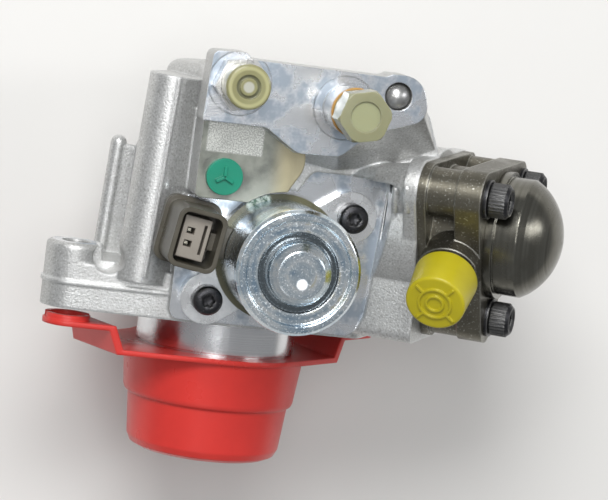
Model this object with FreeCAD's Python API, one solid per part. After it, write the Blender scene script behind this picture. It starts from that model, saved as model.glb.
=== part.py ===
import FreeCAD
import Part
import math
import os

# High pressure fuel pump for a common-rail engine.
# The drive shaft lies along Y, with its driven end towards -Y. The origin is on the shaft's
# axis, in the plane of the mounting flange's face. The metering valve points along +Z and the
# high-pressure head leans out to +X. All sizes are in millimetres.

Vec = FreeCAD.Vector
X_AXIS = Vec(1, 0, 0)
Y_AXIS = Vec(0, 1, 0)
Z_AXIS = Vec(0, 0, 1)

# Clearances
running_gap = 0.05
rest_gap = 0.3

# Housing casting
flange_t = 13.5
flange_r = 33.0
chamber_wall_r = 31.5
chamber_wall_r1 = 30.5
chamber_wall_t = 1.5
side_rib_r = 2.4
side_rib_x = -35.6
side_rib_z = -5.0
side_rib_lean_deg = 2.7
barrel_r = 24.2
barrel_end_t = 7.0
chamber_r = 22.0
chamber_past_cam = 11.4
column_x = -29.0
column_z = 28.0
column_r = 7.0
column_y0 = 18.0
column_y1 = 70.0
column_lean_deg = 3.1
column_foot_x = -8.0
column_foot_r = 16.0
valve_pad_z = 35.0
text_pad_z = 45.0
top_pad_z = 50.0
block_floor_z = 5.0
block_past_barrel = 1.5
top_pad_edge_t = 12.0
mill_floor_gap = 1.2
front_block_up = 15.5
shoulder_z = 38.0
skirt_z = 36.0
rib_r = 2.3
rib_y0 = 38.0
rib_y1 = 50.0
rib_centres = ((39.4, 38.4), (43.7, 40.6))
valley_x = -38.8
valley_y = 15.6
valley_r = 4.4
valley_z0 = 19.0
seam_y = 7.6
seam_half_t = 0.6
seam_proud = 0.6

# Mounting lugs: centre x, centre z
lug_left = (-47.5, 21.0)
lug_right = (43.5, -14.0)
lug_bottom = (0.0, -46.0)
lug_r = 8.5
lug_boss_t = 5.3
lug_hole_r = 4.25

# Pilot spigot and front bearing carrier
spigot_r = 23.6
spigot_land = 10.0
spigot_len = 14.0
spigot_nose_r = 23.1
spigot_sink = 1.0
relief_r = 25.4
carrier_r = 22.0
carrier_len = 22.0
seal_bore_r = 16.0
seal_depth = 8.0
bush_wall = 2.0

# Drive shaft
journal_r = 10.0
rear_journal_r = 8.0
rear_bush_len = 16.0
shaft_past_bush = 3.0
taper_y0 = -13.0
taper_y1 = -29.0
taper_r1 = 8.4
thread_r = 6.5
thread_y1 = -37.5
cam_base_r = 14.0
cam_lift = 5.0
cam_width = 16.0
thrust_washer_r = 19.0
thrust_washer_t = 1.7

# Places along the shaft that follow from the sizes above
cam_past_carrier = 13.6
head_y = carrier_len + cam_past_carrier
chamber_y1 = head_y + chamber_past_cam
chamber_wall_y1 = chamber_y1 + chamber_wall_t
shaft_end_y = chamber_y1 + rear_bush_len + shaft_past_bush
barrel_len = shaft_end_y + barrel_end_t
rear_face_y = barrel_len + block_past_barrel

# High-pressure head: leans up from +X towards +Z and crosses the shaft axis at head_y
head_tilt_deg = 28.0
seat_t = 63.3
head_face_t = seat_t + 18.4
spigot_t = seat_t - 11.3
head_seat_t = 4.0
head_spigot_r = 17.0
head_core_r = 18.0
head_bolt_pcr = 24.5
head_bolt_first_deg = 28.0
head_rib_r = 7.6
head_flange_t = 7.5
head_foot_t = 2.6
head_bolt_r = 3.0
head_bolt_grip = 9.5
head_bolt_drill = 12.0
bolt_horn_r = 5.0
horn_web_len = 30.0
horn_web_r = 9.0
horn_web_in = 0.45
cap_head_r = 5.0
cap_head_h = 6.0
washer_r = 5.6
washer_t = 1.2

# Dome plug on the head's end
dome_r = 17.2
dome_ring_r = 18.6
dome_ring_t = 2.4
dome_cyl_t = 6.5
dome_band_t = 2.0
dome_sphere_r = 20.0
dome_thread_r = 12.0

# Plunger train
roller_r = 5.5
roller_len = 12.0
roller_pin_r = 2.5
pin_half_len = 9.0
tappet_r = 10.5
tappet_len = 14.0
plunger_r = 3.5
spring_wire_r = 1.2
plunger_spring_r = 8.4

# Inlet valve under the dome plug
valve_disc_t = 2.4
valve_stem_r = 1.0
valve_stem_len = 4.4
valve_room_r = 3.6
valve_past_port = 4.0

# Outlet port on the head
port_t = seat_t + 9.1
port_angle_deg = 27.5
port_lean_deg = 2.5
port_boss_r = 9.2
port_boss_top = 25.5
port_nose_r = 6.0
port_nose_len = 11.0
outlet_cap_r = 9.25
outlet_cap_face_r = 8.5
outlet_cap_len = 14.5
outlet_ball_r = 1.6
outlet_drill_r = 1.5
outlet_stem_r = 5.0
outlet_stem_len = 11.0
outlet_bore_depth = 11.5
outlet_spring_room = 7.5

# Metering valve
valve_x = 8.5
valve_y = 22.0
valve_flange_t = 4.0
valve_screw_dx = 19.5
valve_screw_dy = 13.8
valve_screw_head_r = 4.25
valve_screw_head_h = 5.0
valve_screw_r = 2.5
valve_screw_grip = 5.0
can_r = 17.0
can_rim_r = 17.6
can_top_z = 70.0
can_wall = 1.0
can_boss_r = 8.7
can_boss_h = 4.0
core_r = 4.2
nose_r = 7.4
nose_len = 9.5
nose_tip_r = 5.2
nose_tip_len = 1.8
nose_floor_t = 1.2
o_ring_rises = (2.2, 7.2)
spool_r = 3.0
spool_z = 29.0
spool_len = 9.0

# Connector socket of the valve
socket_x = -19.0
socket_y = 27.0
socket_turn_deg = -9.0
socket_len = 14.0
socket_wid = 17.0
socket_wall = 1.3
socket_top_z = 60.0
socket_floor_z = 47.0
socket_base_z = 38.0
pin_gap = 3.7

# Fittings on the top pad: centre x, centre y
return_at = (-11.0, 71.0)
inlet_at = (19.6, 67.5)
ball_at = (34.5, 72.5)
gauge_at = (-11.5, 44.2)
return_hex_af = 14.0
return_hex_h = 6.0
return_stem_r = 3.98
return_nipple_r = 4.2
return_nipple_len = 7.0
return_bead_r = 4.7
return_hole_r = 2.2
stem_len = 11.0
return_cap_r = 6.3
return_cap_h = 8.5
inlet_base_r = 6.6
inlet_base_h = 14.0
inlet_neck_r = 5.0
inlet_cap_af = 13.4
inlet_cap_h = 13.0
gallery_ball_r = 4.0
gauge_plug_r = 5.2

# Transport cap
tcap_wall = 1.5
tcap_rim_y = -10.6
tcap_step_y = -26.0
tcap_end_y = -42.5
tcap_gap = 0.12
tcap_rim_r = 27.0
tcap_step_r = 25.6
tcap_low_r = 24.1
tcap_end_r = 22.9
tcap_corner = 3.0
tray_r = 28.4
ear_r = 7.2
ear_y = -5.4
ear_rise_len = 2.6
ear_step_back = 10.5
stand_off_y = -2.3


# Geometry helpers

def cyl(r, h, base, axis=Z_AXIS):
    return Part.makeCylinder(r, h, base, axis)


def ring(outer, inner, h, base, axis=Z_AXIS):
    return cyl(outer, h, base, axis).cut(cyl(inner, h, base, axis))


def fuse(shapes):
    return shapes[0].multiFuse(shapes[1:]).removeSplitter()


def rounded_face(corners):
    # corners are (x, y, radius); the outline lies in the XY plane
    edges = []
    spans = []
    count = len(corners)
    for i in range(count):
        x, y, r = corners[i]
        here = Vec(x, y, 0)
        before = Vec(corners[i - 1][0], corners[i - 1][1], 0)
        after = Vec(corners[(i + 1) % count][0], corners[(i + 1) % count][1], 0)
        u = (before - here).normalize()
        v = (after - here).normalize()
        if r == 0:
            spans.append((here, None, here))
            continue
        half = u.getAngle(v) / 2
        reach = r / math.tan(half)
        bisector = (u + v).normalize()
        middle = here + bisector * (r / math.sin(half) - r)
        spans.append((here + u * reach, middle, here + v * reach))
    for i in range(count):
        start, middle, end = spans[i]
        last = spans[i - 1][2]
        if (start - last).Length > 1e-6:
            edges.append(Part.LineSegment(last, start).toShape())
        if middle is not None:
            edges.append(Part.Arc(start, middle, end).toShape())
    return Part.Face(Part.Wire(edges))


def slab(corners, z0, z1):
    face = rounded_face(corners)
    face.translate(Vec(0, 0, z0))
    return face.extrude(Vec(0, 0, z1 - z0))


def front_slab(corners, y0, y1):
    # corners are (x, z, radius); the outline lies in the XZ plane
    solid = slab([(x, -z, r) for x, z, r in corners], 0, y1 - y0)
    solid.rotate(Vec(0, 0, 0), X_AXIS, -90)
    solid.translate(Vec(0, y0, 0))
    return solid


def hexagon(across, h, base, turn_deg=0):
    r = across / 2 / math.cos(math.pi / 6)
    points = []
    for i in range(7):
        a = math.radians(turn_deg + 60 * i)
        points.append(Vec(base.x + r * math.cos(a), base.y + r * math.sin(a), base.z))
    return Part.Face(Part.makePolygon(points)).extrude(Vec(0, 0, h))


def revolve(profile):
    # profile is a closed list of (radius, height) about Z
    points = [Vec(r, 0, z) for r, z in profile]
    face = Part.Face(Part.makePolygon(points + points[:1]))
    return face.revolve(Vec(0, 0, 0), Z_AXIS, 360)


def coil_spring(r, wire_r, z0, z1, turns):
    # closed end rings with a helix between them, as a compression spring is wound
    pitch = (z1 - z0 - 2 * wire_r) / turns
    helix = Part.makeHelix(pitch, z1 - z0 - 2 * wire_r, r)
    section = Part.Wire(Part.makeCircle(wire_r, Vec(r, 0, 0), Y_AXIS))
    solid = Part.Wire(helix.Edges).makePipeShell([section], True, True)
    solid.translate(Vec(0, 0, z0 + wire_r))
    return solid


def lug_hull(x0, z0, r0, x1, z1, r1, y0, y1):
    # plate whose outline wraps two circles in the XZ plane
    dx = x1 - x0
    dz = z1 - z0
    dist = math.hypot(dx, dz)
    base = math.atan2(dz, dx)
    lean = math.acos((r0 - r1) / dist)
    points = []
    for cx, cz, r, side in ((x0, z0, r0, 1), (x1, z1, r1, 1), (x1, z1, r1, -1), (x0, z0, r0, -1)):
        a = base + side * lean
        points.append(Vec(cx + r * math.cos(a), y0, cz + r * math.sin(a)))
    web = Part.Face(Part.makePolygon(points + points[:1])).extrude(Vec(0, y1 - y0, 0))
    ends = [cyl(r0, y1 - y0, Vec(x0, y0, z0), Y_AXIS), cyl(r1, y1 - y0, Vec(x1, y0, z1), Y_AXIS)]
    return fuse([web] + ends)


# Frames of the inclined head and of its outlet port

def head_axes():
    tilt = math.radians(head_tilt_deg)
    along = Vec(math.cos(tilt), 0, math.sin(tilt))
    up = Vec(-math.sin(tilt), 0, math.cos(tilt))
    return along, up


def to_head(shape):
    # local Z runs out along the head, local X points up and local Y points to the flange
    along, up = head_axes()
    side = along.cross(up)
    turn = FreeCAD.Rotation(up, side, along, "ZXY")
    placed = shape.copy()
    placed.Placement = FreeCAD.Placement(Vec(0, head_y, 0), turn).multiply(placed.Placement)
    return placed


def to_port(shape):
    # local Z runs out along the outlet port from the plunger's axis
    a = math.radians(port_angle_deg)
    lean = math.radians(port_lean_deg)
    flat = Vec(math.cos(a), math.sin(a), 0)
    out = flat * math.cos(lean) + Z_AXIS * math.sin(lean)
    along = Z_AXIS * math.cos(lean) - flat * math.sin(lean)
    side = along.cross(out)
    turn = FreeCAD.Rotation(side, along, out, "ZXY")
    placed = shape.copy()
    placed.Placement = FreeCAD.Placement(Vec(0, 0, port_t), turn).multiply(placed.Placement)
    return placed


def head_bolt_places():
    places = []
    for i in range(3):
        a = math.radians(-head_bolt_first_deg - 120 * i)
        places.append(Vec(head_bolt_pcr * math.cos(a), head_bolt_pcr * math.sin(a), 0))
    return places


def head_outline(lobe_r, core_r, t0, t1):
    # three bolt lobes webbed to a round core
    pieces = [cyl(core_r, t1 - t0, Vec(0, 0, t0))]
    places = head_bolt_places()
    for i in range(3):
        p = places[i]
        q = places[(i + 1) % 3]
        outward = (p + q).normalize() * lobe_r
        corners = [p + outward, q + outward, q * 0.3, p * 0.3]
        corners = [Vec(c.x, c.y, t0) for c in corners]
        web = Part.Face(Part.makePolygon(corners + corners[:1])).extrude(Vec(0, 0, t1 - t0))
        pieces.append(web)
        pieces.append(cyl(lobe_r, t1 - t0, Vec(p.x, p.y, t0)))
    return fuse(pieces)


def valve_screw_places():
    return [
        Vec(valve_x - valve_screw_dx, valve_y - valve_screw_dy, 0),
        Vec(valve_x + valve_screw_dx, valve_y + valve_screw_dy, 0),
    ]


# Housing

def valve_pad_corners():
    return [
        (-20.5, 1.0, 3.0),
        (33.5, 1.0, 4.0),
        (36.2, 8.0, 3.0),
        (38.5, 47.7, 3.5),
        (15.5, 47.7, 3.0),
        (9.0, 37.0, 2.0),
        (-20.5, 37.0, 2.0),
    ]


def text_pad_corners():
    return [
        (-19.0, 37.5, 1.5),
        (5.0, 37.5, 3.0),
        (11.5, 49.0, 8.0),
        (10.0, 62.0, 2.0),
        (-19.0, 62.0, 1.0),
    ]


def top_pad_corners():
    return [
        (-20.3, 59.6, 0.5),
        (-2.0, 59.6, 3.0),
        (7.5, 53.4, 6.0),
        (20.0, 53.6, 5.0),
        (28.0, 61.2, 5.0),
        (44.2, 66.6, 5.0),
        (41.0, 78.6, 7.0),
        (32.2, 78.6, 2.0),
        (30.2, 77.6, 1.0),
        (-8.0, 77.9, 1.0),
        (-10.2, 79.7, 1.0),
        (-19.4, 79.3, 2.0),
    ]


def shoulder_corners():
    return [
        (-18.0, 36.0, 3.0),
        (30.0, 36.0, 3.0),
        (46.0, 40.0, 5.0),
        (51.5, 56.0, 3.0),
        (47.5, 66.5, 4.0),
        (42.0, rear_face_y, 5.0),
        (-18.0, rear_face_y, 5.0),
    ]


def soft_lug(x, z):
    # one lug wrapped into the flange, its boss blended in by a broad sloping edge
    plate = lug_hull(0, 0, flange_r, x, z, lug_r, 0, flange_t)
    boss = cyl(lug_r, flange_t + lug_boss_t, Vec(x, 0, z), Y_AXIS)
    top = flange_t + lug_boss_t
    boss = boss.makeFillet(1.5, [e for e in boss.Edges if abs(e.BoundBox.YMin - top) < 1e-6])
    return [plate, boss]


def mounting_flange():
    pieces = [cyl(flange_r, flange_t, Vec(0, 0, 0), Y_AXIS)]
    for x, z in (lug_left, lug_right, lug_bottom):
        pieces += soft_lug(x, z)
    pad_front = front_slab(
        [(-22, 0, 2), (-22, valve_pad_z - 3, 4), (35.8, valve_pad_z - 3, 4), (50, 8, 8), (46, 0, 4)],
        0, flange_t)
    pieces.append(pad_front)
    return fuse(pieces)


def parting_ridge():
    # witness line of the casting mould round the left lug
    return lug_hull(0, 0, flange_r + seam_proud, lug_left[0], lug_left[1], lug_r + seam_proud,
                    seam_y - seam_half_t, seam_y + seam_half_t)


def side_rib():
    # upright half-round rib on the cam chamber's left, which leans in a little towards the rear
    height = chamber_wall_y1 - flange_t / 2 - side_rib_r
    bar = cyl(side_rib_r, height, Vec(side_rib_x, 0, side_rib_z), Y_AXIS)
    web = Part.makeBox(-side_rib_x, height, 2 * side_rib_r - 1, Vec(side_rib_x, 0, side_rib_z - side_rib_r + 0.5))
    tip = Part.makeSphere(side_rib_r, Vec(side_rib_x, height, side_rib_z))
    body = fuse([bar, web, tip])
    body.rotate(Vec(side_rib_x, 0, 0), Z_AXIS, -side_rib_lean_deg)
    body.translate(Vec(-1.5, flange_t / 2, 0))
    return body


def lug_valley():
    # hollow between the left lug's boss and the column
    return cyl(valley_r, column_z, Vec(valley_x, valley_y, valley_z0), Z_AXIS)


def column():
    # half-round rib that leans a little outwards, on a web that runs in to the rear barrel
    web = lug_hull(column_foot_x, 0, column_foot_r, column_x, column_z, column_r, column_y0 - 8, column_y1)
    seam = cyl(0.7, column_y1 - column_y0 + 6, Vec(column_x + 0.5, column_y0 - 6, column_z + column_r - 0.2), Y_AXIS)
    body = fuse([web, seam])
    body.rotate(Vec(column_x, column_y0, 0), Z_AXIS, -column_lean_deg)
    return body


def pad_skirt():
    # slope from the top pad down to the head's seat, ruled between two outlines
    upper = [(-2.5, 60), (7.5, 54.4), (20, 54.6), (28, 62.2), (43, 67.4), (42, 73), (36, 77), (-2.5, 77)]
    lower = [(-2.5, 57.5), (7, 50), (22, 47.6), (36, 49), (51.5, 56), (47.5, 66.5), (42, 74.5), (-2.5, 74.5)]
    wires = []
    for outline, z in ((upper, top_pad_z - 1.2), (lower, skirt_z)):
        points = [Vec(x, y, z) for x, y in outline]
        wires.append(Part.makePolygon(points + points[:1]))
    return Part.makeLoft(wires, True, True)


def slope_ribs():
    # two half-round ribs between the skirt and the sloping block
    ribs = []
    for x, z in rib_centres:
        ribs.append(cyl(rib_r, rib_y1 - rib_y0, Vec(x, rib_y0, z), Y_AXIS))
        ribs.append(Part.makeSphere(rib_r, Vec(x, rib_y0, z)))
    return ribs


def rear_gussets():
    # three stiffening ribs between the cam chamber and the rear bearing, on the hidden side
    webs = []
    for turn in (-60, -90, -120):
        a = math.radians(turn)
        u = Vec(math.cos(a), 0, math.sin(a))
        low = u * (barrel_r - 2)
        points = [low + Vec(0, chamber_wall_y1 - 6, 0), u * (chamber_wall_r1 - 1) + Vec(0, chamber_wall_y1 - 6, 0),
                  u * (chamber_wall_r1 - 1) + Vec(0, chamber_wall_y1, 0), low + Vec(0, barrel_len - 8, 0)]
        web = Part.Face(Part.makePolygon(points + points[:1]))
        normal = u.cross(Y_AXIS) * 4
        web.translate(normal * -0.5)
        webs.append(web.extrude(normal))
    return webs


def head_shoulder():
    # inclined barrel for the tappet, ending in the three-lobed seat of the head, with a horn
    # of metal behind each bolt that runs back into the barrel
    tube = cyl(head_spigot_r + 5.5, seat_t - 12, Vec(0, 0, 12))
    seat = head_outline(head_rib_r + 0.8, head_core_r + 3, seat_t - head_seat_t, seat_t)
    horns = []
    for p in head_bolt_places():
        horn_len = head_bolt_drill + 2
        horns.append(Part.makeCone(bolt_horn_r, head_rib_r + 0.4, horn_len, Vec(p.x, p.y, seat_t - horn_len)))
        foot = Vec(p.x * horn_web_in, p.y * horn_web_in, seat_t - horn_web_len)
        run = Vec(p.x, p.y, seat_t - head_seat_t) - foot
        horns.append(Part.makeCone(horn_web_r, head_rib_r - 0.6, run.Length, foot, run))
    return to_head(fuse([tube, seat] + horns))


def front_shoulder():
    # plain sloping block between the flange, the valve pad and the head's seat
    block = Part.makeBox(front_block_up + 20, 48, seat_t - 22, Vec(-20, -14, 22))
    block = block.makeFillet(3.0, [e for e in block.Edges if abs(e.tangentAt(0).z) > 0.9])
    return to_head(block)


def housing_outside():
    chamber = Part.makeCone(chamber_wall_r, chamber_wall_r1, chamber_wall_y1 - flange_t,
                            Vec(0, flange_t, 0), Y_AXIS)
    chamber = chamber.makeFillet(3.0, [e for e in chamber.Edges if e.BoundBox.YMin > chamber_wall_y1 - 0.01])
    barrel = cyl(barrel_r, barrel_len, Vec(0, 0, 0), Y_AXIS)
    barrel = barrel.makeFillet(4.0, [e for e in barrel.Edges if e.BoundBox.YMin > barrel_len - 0.01])
    pieces = [
        mounting_flange(),
        parting_ridge(),
        chamber,
        barrel,
        column(),
        side_rib(),
        slab(valve_pad_corners(), block_floor_z, valve_pad_z),
        slab(text_pad_corners(), block_floor_z, text_pad_z),
        slab(top_pad_corners(), top_pad_z - top_pad_edge_t, top_pad_z),
        slab(shoulder_corners(), block_floor_z, shoulder_z),
        pad_skirt(),
        head_shoulder(),
        front_shoulder(),
    ]
    return fuse(pieces + slope_ribs() + rear_gussets()).cut(lug_valley())


def housing_cuts():
    cuts = []
    # carrier bore, cam chamber and rear bearing bore
    cuts.append(cyl(carrier_r, carrier_len + 2, Vec(0, 0, 0), Y_AXIS))
    cuts.append(cyl(relief_r, spigot_sink, Vec(0, 0, 0), Y_AXIS))
    cuts.append(cyl(chamber_r, chamber_y1 - carrier_len, Vec(0, carrier_len, 0), Y_AXIS))
    cuts.append(cyl(rear_journal_r + bush_wall, rear_bush_len + 4, Vec(0, chamber_y1, 0), Y_AXIS))
    # tappet bore, spring room and head spigot bore
    cuts.append(to_head(cyl(tappet_r + running_gap, spigot_t - 8, Vec(0, 0, 8))))
    cuts.append(to_head(cyl(head_spigot_r + running_gap, seat_t - spigot_t + 1, Vec(0, 0, spigot_t - 1))))
    cuts.append(to_head(cyl(head_bolt_pcr + head_rib_r + 4, 30, Vec(0, 0, seat_t))))
    for p in head_bolt_places():
        cuts.append(to_head(cyl(head_bolt_r, head_bolt_drill + 1, Vec(p.x, p.y, seat_t - head_bolt_drill))))
    # face of the valve pad milled flat, with a round relief for the can
    cuts.append(slab(valve_pad_corners(), valve_pad_z, top_pad_z + 20))
    cuts.append(cyl(can_r + 1.5 + mill_floor_gap, 40, Vec(valve_x, valve_y, valve_pad_z)))
    # metering valve bore and its two screw holes
    at = Vec(valve_x, valve_y, valve_pad_z - nose_len)
    cuts.append(cyl(nose_r, nose_len + 1, at))
    cuts.append(cyl(nose_tip_r, nose_tip_len + 1, at - Vec(0, 0, nose_tip_len)))
    for p in valve_screw_places():
        cuts.append(cyl(valve_screw_r, valve_screw_grip + 1, Vec(p.x, p.y, valve_pad_z - valve_screw_grip)))
    # ports of the top pad, each with a shallow machined spot face
    for (x, y), r, depth, spot in (
        (return_at, 4.0, 12.0, 9.0),
        (inlet_at, 5.0, 12.0, 9.0),
        (ball_at, gallery_ball_r, 14.0, 0.0),
    ):
        cuts.append(cyl(r, depth, Vec(x, y, top_pad_z - depth)))
        if spot:
            cuts.append(cyl(spot, 0.4, Vec(x, y, top_pad_z - 0.4)))
    cuts.append(cyl(4.0, 9, Vec(gauge_at[0], gauge_at[1], text_pad_z - 8)))
    # mounting holes
    for x, z in (lug_left, lug_right, lug_bottom):
        cuts.append(cyl(lug_hole_r, flange_t + lug_boss_t + 2, Vec(x, -1, z), Y_AXIS))
    return cuts


def pump_housing():
    body = housing_outside()
    for cut in housing_cuts():
        body = body.cut(cut)
    return body


# Front bearing carrier with its bush, seals and thrust washer

def front_bearing_carrier():
    land = cyl(spigot_r, spigot_land + spigot_sink, Vec(0, -spigot_land, 0), Y_AXIS)
    nose = cyl(spigot_nose_r, spigot_len, Vec(0, -spigot_len, 0), Y_AXIS)
    nose = nose.makeChamfer(1.2, [e for e in nose.Edges if abs(e.BoundBox.YMax + spigot_len) < 1e-6])
    body = fuse([land, nose, cyl(carrier_r - running_gap, carrier_len, Vec(0, 0, 0), Y_AXIS)])
    body = body.cut(ring(carrier_r, carrier_r - 2.2, 3.0, Vec(0, 14, 0), Y_AXIS))
    body = body.cut(cyl(seal_bore_r, seal_depth, Vec(0, -spigot_len, 0), Y_AXIS))
    return body.cut(cyl(journal_r + bush_wall, carrier_len + spigot_len, Vec(0, -spigot_len, 0), Y_AXIS))


def torus_ring(mid_r, wire_r, y):
    return Part.makeTorus(mid_r, wire_r, Vec(0, y, 0), Y_AXIS)


def carrier_o_ring():
    return torus_ring(carrier_r - 1.15, 1.05, 15.5)


def shaft_seal():
    y0 = -spigot_len + 0.5
    depth = seal_depth - 0.5
    case = ring(seal_bore_r, seal_bore_r - 2.0, depth, Vec(0, y0, 0), Y_AXIS)
    web = ring(seal_bore_r, journal_r + 1.2, 1.6, Vec(0, y0, 0), Y_AXIS)
    lip = ring(journal_r + 2.4, journal_r + running_gap, 4.0, Vec(0, y0, 0), Y_AXIS)
    return fuse([case, web, lip])


def front_bush():
    return ring(journal_r + bush_wall, journal_r + running_gap, carrier_len + 3.0, Vec(0, -3.0, 0), Y_AXIS)


def rear_bush():
    return ring(rear_journal_r + bush_wall, rear_journal_r + running_gap, rear_bush_len,
                Vec(0, chamber_y1 + 1, 0), Y_AXIS)


def thrust_washer():
    return ring(thrust_washer_r, journal_r + 0.4, thrust_washer_t, Vec(0, carrier_len + 0.1, 0), Y_AXIS)


# Drive shaft with its cam

def cam_lobe():
    y0 = head_y - cam_width / 2
    tilt = math.radians(head_tilt_deg)
    nose_r = cam_base_r * 0.55
    reach = cam_base_r + cam_lift - nose_r
    return lug_hull(0, 0, cam_base_r, reach * math.cos(tilt), reach * math.sin(tilt), nose_r,
                    y0, y0 + cam_width)


def drive_shaft():
    collar_y0 = carrier_len + 2.1
    pieces = [
        cyl(journal_r, collar_y0 - taper_y0, Vec(0, taper_y0, 0), Y_AXIS),
        cyl(13.0, head_y - cam_width / 2 - collar_y0, Vec(0, collar_y0, 0), Y_AXIS),
        cam_lobe(),
        cyl(rear_journal_r, shaft_end_y - head_y, Vec(0, head_y, 0), Y_AXIS),
        Part.makeCone(taper_r1, journal_r, taper_y0 - taper_y1, Vec(0, taper_y1, 0), Y_AXIS),
        cyl(thread_r, taper_y1 - thread_y1, Vec(0, thread_y1, 0), Y_AXIS),
    ]
    body = fuse(pieces)
    body = body.cut(cyl(6.5, 3.0, Vec(-1.5, (taper_y0 + taper_y1) / 2, 10.5), X_AXIS))
    return body.cut(Part.makeCone(2.4, 0.3, 2.5, Vec(0, thread_y1, 0), Y_AXIS))


def shaft_key():
    disc = cyl(6.4, 2.9, Vec(-1.45, (taper_y0 + taper_y1) / 2, 10.5), X_AXIS)
    return disc.cut(Part.makeBox(4, 20, 8, Vec(-2, (taper_y0 + taper_y1) / 2 - 10, 11.6)))


# Plunger train, built along the head's axis

def roller_t():
    return cam_base_r + cam_lift + rest_gap + roller_r


def tappet_top_t():
    return roller_t() - 3 + tappet_len


def tappet_roller():
    t = roller_t()
    body = cyl(roller_r, roller_len, Vec(0, -roller_len / 2, t), Y_AXIS)
    return to_head(body.cut(cyl(roller_pin_r + running_gap, roller_len, Vec(0, -roller_len / 2, t), Y_AXIS)))


def roller_pin():
    return to_head(cyl(roller_pin_r, 2 * pin_half_len, Vec(0, -pin_half_len, roller_t()), Y_AXIS))


def tappet_body():
    t = roller_t()
    body = cyl(tappet_r, tappet_len, Vec(0, 0, t - 3))
    slot = Part.makeBox(2 * tappet_r + 2, roller_len + 0.6, 10.2,
                        Vec(-tappet_r - 1, -roller_len / 2 - 0.3, t - 4))
    body = body.cut(slot)
    body = body.cut(cyl(roller_pin_r, 2 * pin_half_len, Vec(0, -pin_half_len, t), Y_AXIS))
    return to_head(body)


def spring_seat():
    t = tappet_top_t()
    return to_head(ring(tappet_r - 1.0, plunger_r + running_gap, 1.6, Vec(0, 0, t)))


def plunger_spring():
    t0 = tappet_top_t() + 1.6
    return to_head(coil_spring(plunger_spring_r, spring_wire_r, t0 + 0.1, spigot_t - 0.1, 3.0))


def plunger():
    t0 = tappet_top_t()
    return to_head(cyl(plunger_r, port_t - 3 - t0, Vec(0, 0, t0)))


def plunger_seal():
    return to_head(ring(plunger_r + 2.6, plunger_r + running_gap, 3.0, Vec(0, 0, spigot_t + 0.2)))


# High-pressure head

def inlet_valve_t():
    # underside of the inlet valve's disc, at the top of the pumping chamber
    return port_t + valve_past_port


def head_body():
    core = cyl(head_core_r, head_face_t - seat_t, Vec(0, 0, seat_t))
    spigot = cyl(head_spigot_r, seat_t - spigot_t, Vec(0, 0, spigot_t))
    foot = head_outline(head_rib_r + 0.4, head_core_r + 1.5, seat_t, seat_t + head_foot_t)
    flange = head_outline(head_rib_r, head_core_r + 1.0, head_face_t - head_flange_t, head_face_t)
    pieces = [core, spigot, foot, flange]
    for p in head_bolt_places():
        pieces.append(cyl(head_rib_r - 0.6, head_face_t - seat_t, Vec(p.x, p.y, seat_t)))
    boss = to_port(cyl(port_boss_r, port_boss_top, Vec(0, 0, 0)))
    boss = boss.common(cyl(head_face_t, head_face_t - seat_t, Vec(0, 0, seat_t)))
    pieces.append(boss)
    body = fuse(pieces)
    # bolt holes, plunger bore, pumping chamber and the valve room under the dome plug
    for p in head_bolt_places():
        body = body.cut(cyl(head_bolt_r + 0.3, head_face_t - seat_t + 2, Vec(p.x, p.y, seat_t - 1)))
    body = body.cut(cyl(plunger_r + running_gap / 2, port_t + 2 - spigot_t, Vec(0, 0, spigot_t)))
    body = body.cut(cyl(plunger_r + 2.6, 3.4, Vec(0, 0, spigot_t)))
    body = body.cut(cyl(5.0, 3.0, Vec(0, 0, inlet_valve_t() - 3.0)))
    body = body.cut(cyl(dome_thread_r, head_face_t - port_t, Vec(0, 0, inlet_valve_t())))
    body = body.cut(ring(head_spigot_r, head_spigot_r - 2.2, 3.0, Vec(0, 0, spigot_t + 5)))
    # outlet drilling and the threaded bore of the outlet fitting
    body = body.cut(to_port(cyl(outlet_drill_r, port_boss_top, Vec(0, 0, 0))))
    floor = port_boss_top - outlet_bore_depth
    body = body.cut(to_port(cyl(outlet_stem_r, outlet_bore_depth + 1, Vec(0, 0, floor))))
    return to_head(body)


def head_o_ring():
    ring_solid = Part.makeTorus(head_spigot_r - 1.15, 1.05, Vec(0, 0, spigot_t + 6.5), Z_AXIS)
    return to_head(ring_solid)


def head_dome():
    # turned plug: ring, cylinder, bright chamfer and spherical end over a threaded stem
    t0 = head_face_t
    t1 = t0 + dome_ring_t
    t2 = t1 + dome_cyl_t
    t3 = t2 + dome_band_t
    ring_part = cyl(dome_ring_r, dome_ring_t, Vec(0, 0, t0))
    barrel = cyl(dome_r, dome_cyl_t, Vec(0, 0, t1))
    band = Part.makeCone(dome_r, dome_r - 1.2, dome_band_t, Vec(0, 0, t2))
    edge = dome_r - 1.2
    centre_t = t3 - math.sqrt(dome_sphere_r ** 2 - edge ** 2)
    ball = Part.makeSphere(dome_sphere_r, Vec(0, 0, centre_t))
    keep = cyl(edge, dome_sphere_r * 2, Vec(0, 0, t3))
    stem_t = inlet_valve_t() + valve_disc_t
    stem = cyl(dome_thread_r - running_gap, t0 - stem_t, Vec(0, 0, stem_t))
    whole = fuse([ring_part, barrel, band, ball.common(keep), stem])
    return to_head(whole.cut(cyl(valve_room_r, valve_stem_len + 1.0, Vec(0, 0, stem_t))))


def head_bolts():
    solids = []
    t0 = head_face_t + washer_t
    for p in head_bolt_places():
        head = cyl(cap_head_r, cap_head_h, Vec(p.x, p.y, t0))
        head = head.makeChamfer(0.5, [e for e in head.Edges if e.BoundBox.ZMin > t0 + cap_head_h - 0.01])
        shank = cyl(head_bolt_r - 0.02, head_face_t - seat_t + washer_t + head_bolt_grip,
                    Vec(p.x, p.y, seat_t - head_bolt_grip))
        socket = hexagon(5.0, 3.2, Vec(p.x, p.y, t0 + cap_head_h - 3.2))
        solids.append(fuse([head, shank]).cut(socket))
    return to_head(Part.makeCompound(solids))


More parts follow.
